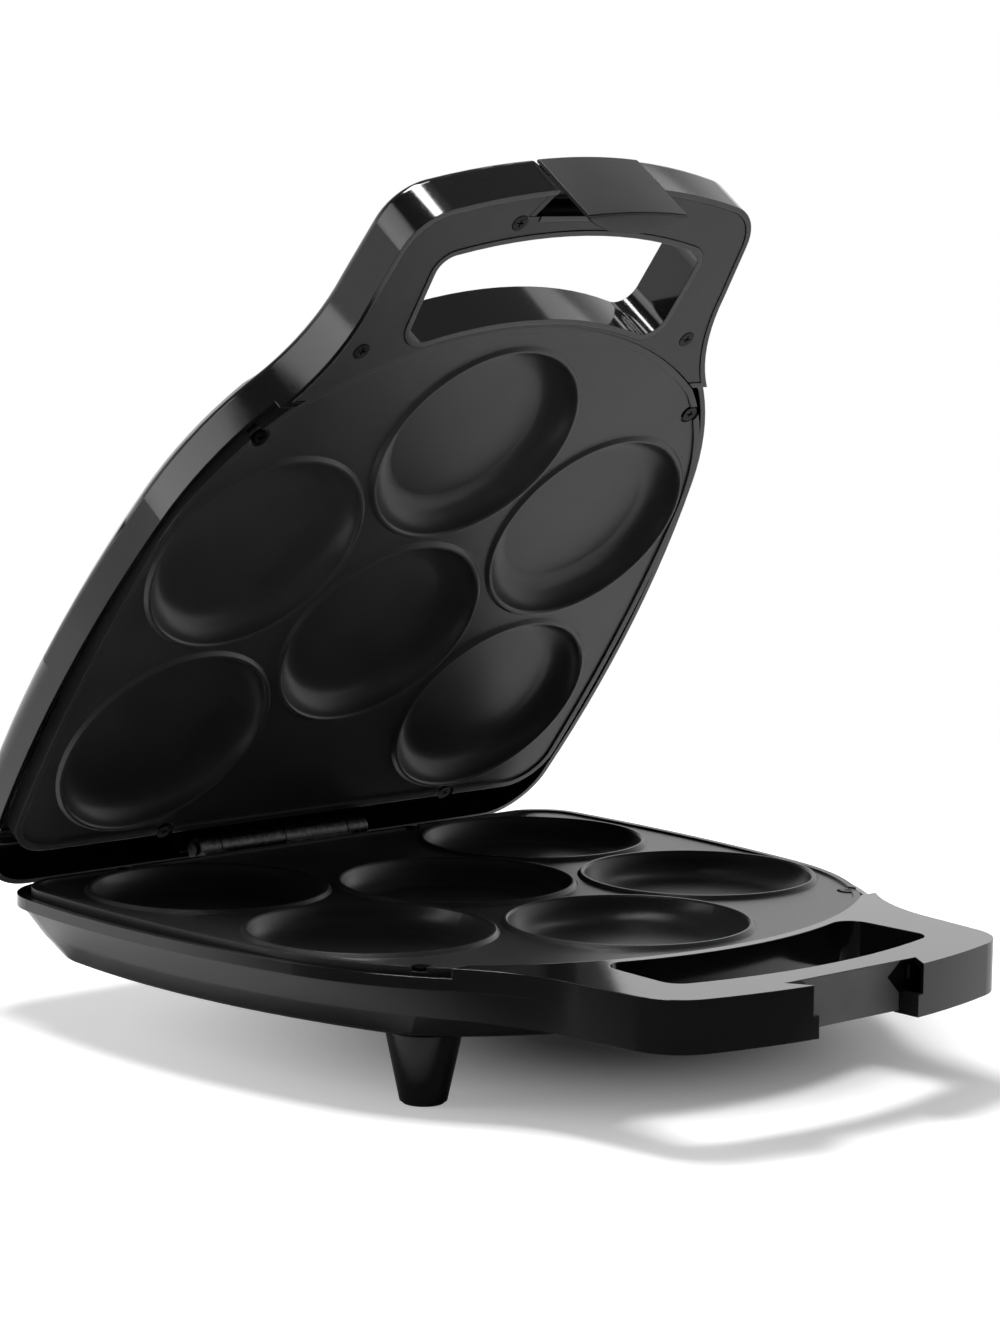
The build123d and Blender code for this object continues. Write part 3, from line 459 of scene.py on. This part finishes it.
def latch_section(x):
    """Bowed plate cut at x: rounded top, thin edges, a groove and a lens along the tip."""
    part = x / LATCH_HALF
    outer = LATCH_FRONT_Y + LATCH_BOW * part**2
    thick = LATCH_BODY + (LATCH_EDGE - LATCH_BODY) * part**2
    lens = thick + LATCH_LENS * (1 - part**2)
    foot = LATCH_TIP - LATCH_LENS_H
    rounded_top = [
        (thick, LATCH_TOP + 0.6),
        (thick - 0.5, LATCH_TOP),
        (0.9, LATCH_TOP),
        (0.25, LATCH_TOP + 0.4),
        (0.0, LATCH_TOP + 1.2),
    ]
    groove = [
        (0.0, LATCH_TIP - 1.7),
        (LATCH_GROOVE, LATCH_TIP - 1.5),
        (LATCH_GROOVE, LATCH_TIP - 1.1),
        (0.1, LATCH_TIP - 0.9),
    ]
    tip = [
        (0.3, LATCH_TIP - 0.3),
        (1.0, LATCH_TIP),
        (lens - 0.6, LATCH_TIP - 0.1),
        (lens, LATCH_TIP - 0.8),
        (lens - 0.3, LATCH_TIP - 1.8),
        (thick + (lens - thick) * 0.55, foot + 0.6),
        (thick, foot),
    ]
    return [(x, outer + step, z) for step, z in rounded_top + groove + tip]


def add_latch(material):
    stations = [
        LATCH_HALF * i / LATCH_STATIONS
        for i in range(-LATCH_STATIONS, LATCH_STATIONS + 1)
    ]
    plate = [latch_section(x) for x in stations]
    ends = (-LATCH_HALF, LATCH_HALF)
    turns = [radians(360 / BARREL_SIDES * i) for i in range(BARREL_SIDES)]
    barrel = [
        [
            (x, LATCH_PIVOT_Y + LATCH_BARREL_R * cos(t), LATCH_PIVOT_Z + LATCH_BARREL_R * sin(t))
            for t in turns
        ]
        for x in ends
    ]
    inner = LATCH_FRONT_Y + LATCH_BOW + LATCH_EDGE - WEB_SINK
    low = LATCH_PIVOT_Z - LATCH_BARREL_R + WEB_INSET
    high = LATCH_PIVOT_Z + LATCH_BARREL_R - WEB_INSET
    web = [
        [(x, inner, low), (x, inner, high), (x, LATCH_PIVOT_Y, high), (x, LATCH_PIVOT_Y, low)]
        for x in ends
    ]
    piece = add_piece(
        "latch_clip", "latch", LID_FRAME, (plate, barrel, web), material
    )
    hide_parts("latch")


# Walls beside the latch: the CAD's pockets run out at the front, the real ones
# stop behind the outer wall
def add_pocket_walls(gloss, matt):
    for name, side in (("left", 1), ("right", -1)):
        wall = [(side * x, front_y(x) + y) for x, y in POCKET_WALL]
        wedge = [(side * x, y) for x, y in POCKET_WEDGE]
        add_piece(
            "lid_pocket_wall_" + name,
            "lid",
            LID_FRAME,
            (prism(wall, *POCKET_WALL_Z),),
            gloss,
        )
        add_piece(
            "lid_pocket_wedge_" + name,
            "lid",
            LID_FRAME,
            (prism(wedge, *POCKET_WEDGE_Z),),
            matt,
        )


# Back of the notch in the base handle: a coarse matt face, cut back at each end
# for a black three-cornered window. Its grey is painted light: the handle's black
# ABS made much lighter to stand in for the light that falls on this face
def add_notch_face(matt):
    right = [
        (NOTCH_FACE_HALF, NOTCH_FACE_FOOT),
        (NOTCH_FACE_HALF, WINDOW_FOOT),
        (WINDOW_TIP_X, WINDOW_TIP_Z),
        (NOTCH_FACE_HALF, WINDOW_TOP),
    ]
    left = [(-x, z) for x, z in reversed(right)]
    rings = [
        [(x, NOTCH_Y - y, z) for x, z in left + right] for y in (0.0, NOTCH_FACE_THICK)
    ]
    add_piece("notch_face", "base", BASE_FRAME, (rings,), matt)


def add_camera():
    az = radians(CAMERA_AZIMUTH)
    el = radians(CAMERA_ELEVATION)
    roll = radians(CAMERA_ROLL)
    back = Vector((sin(az) * cos(el), -cos(az) * cos(el), sin(el)))
    level = Vector((cos(az), sin(az), 0))
    above = back.cross(level)
    right = cos(roll) * level + sin(roll) * above
    up = back.cross(right)
    data = bpy.data.cameras.new("camera")
    data.lens = CAMERA_LENS
    data.sensor_width = CAMERA_SENSOR
    data.clip_end = CAMERA_FAR
    camera = add_object("camera", data)
    turn = Matrix((right, up, back)).transposed().to_4x4()
    camera.matrix_world = Matrix.Translation(CAMERA_PLACE) @ turn
    bpy.context.scene.camera = camera


def add_soft_box(name, place, aim, size, watts):
    data = bpy.data.lights.new(name, "AREA")
    data.shape = "RECTANGLE"
    data.size, data.size_y = size
    data.energy = watts
    lamp = add_object(name, data)
    lamp.location = place
    way = Vector(aim) - Vector(place)
    lamp.rotation_euler = way.to_track_quat("-Z", "Y").to_euler()


# Table of pale card: soft shadow near the part, partly cast by the lamps and partly painted by a
# glow that only the camera sees, plain white beyond it
def white_table():
    material, tree = new_material("white_table")
    place = put(tree, "ShaderNodeTexCoord").outputs["Object"]
    path = put(tree, "ShaderNodeLightPath")
    card = put(tree, "ShaderNodeBsdfDiffuse", Color=linear("#e9e9e9"))

    # Painted light: for the camera alone the table glows lighter away from the middle of the
    # shadow, which paints the shadow's shape under the part
    apart = vector_math(tree, "DISTANCE", place, PAINTED_SHADE_CENTRE)
    lift = smooth_step(tree, apart, PAINTED_SHADE_EDGE, 0.0, PAINTED_TABLE_LIGHT)
    strength = multiply(tree, lift.outputs["Result"], path.outputs["Is Camera Ray"])
    glow = put(tree, "ShaderNodeEmission", links={"Strength": strength.outputs[0]})
    card_and_painted_glow = put(tree, "ShaderNodeAddShader", links={0: card.outputs[0], 1: glow.outputs[0]})

    # Far from the part it is as white as the background
    away = vector_math(tree, "LENGTH", place)
    fade = smooth_step(tree, away, WHITE_EDGE, 0.0, 1.0)
    white = put(tree, "ShaderNodeEmission", Strength=1.0)
    both = mix_shaders(tree, fade.outputs["Result"], card_and_painted_glow, white)

    # Painted dark reflection: glossy rays see the table on the near side of the room as near
    # black
    ahead = vector_math(tree, "DOT_PRODUCT", place, VIEW_AHEAD)
    near = smooth_step(tree, ahead, NEAR_EDGE, PAINTED_REFLECTION_DARKNESS, 0.0)
    dark = multiply(tree, near.outputs["Result"], path.outputs["Is Glossy Ray"])
    black = put(tree, "ShaderNodeBsdfDiffuse", Color=linear("#0a0a0a"))
    finish_material(tree, mix_shaders(tree, dark.outputs[0], both, black))
    return material


def add_table():
    mesh = bpy.data.meshes.new("table")
    half = TABLE_SIZE / 2
    mesh.from_pydata(
        [(-half, -half, 0), (half, -half, 0), (half, half, 0), (-half, half, 0)],
        [],
        [(0, 1, 2, 3)],
    )
    table = add_object("table", mesh)
    mesh.materials.append(white_table())


def add_sky():
    """White for the camera; for all else bright beyond the part, dark on the near side."""
    world = bpy.data.worlds.new("studio")
    world.use_nodes = True
    tree = world.node_tree
    tree.nodes.clear()
    place = put(tree, "ShaderNodeTexCoord").outputs["Generated"]
    side = put(
        tree,
        "ShaderNodeMapRange",
        links={"Value": vector_math(tree, "DOT_PRODUCT", place, VIEW_AHEAD)},
        From_Min=SKY_TURN[0],
        From_Max=SKY_TURN[1],
        To_Min=SKY_FRONT,
        To_Max=SKY_BACK,
    )
    parts = put(tree, "ShaderNodeSeparateXYZ", links={0: place})
    ceiling = put(
        tree,
        "ShaderNodeMapRange",
        links={"Value": parts.outputs["Z"]},
        From_Min=SKY_CEILING[0],
        From_Max=SKY_CEILING[1],
        To_Min=1.0,
        To_Max=SKY_TOP,
    )
    level = multiply(tree, side.outputs["Result"], ceiling.outputs["Result"])
    room = put(
        tree, "ShaderNodeBackground", links={"Strength": level.outputs[0]}, Color=WHITE
    )
    white = put(tree, "ShaderNodeBackground", Strength=1.0, Color=WHITE)
    path = put(tree, "ShaderNodeLightPath")
    seen = mix_shaders(tree, path.outputs["Is Camera Ray"], room, white)
    out = put(tree, "ShaderNodeOutputWorld")
    tree.links.new(seen.outputs[0], out.inputs["Surface"])
    bpy.context.scene.world = world


gloss, matt = dress_nodes()
add_latch(matt)
add_pocket_walls(gloss, matt)
# The notch face's pale grey is painted light: the handle's black ABS made lighter where light
# falls on it
add_notch_face(eroded_abs("coarse_eroded_abs_painted_light", "#565657", "#5e5e60", 0.7))
add_camera()
add_table()
add_sky()
for soft_box in SOFT_BOXES:
    add_soft_box(*soft_box)

bpy.context.scene.view_settings.view_transform = "Standard"
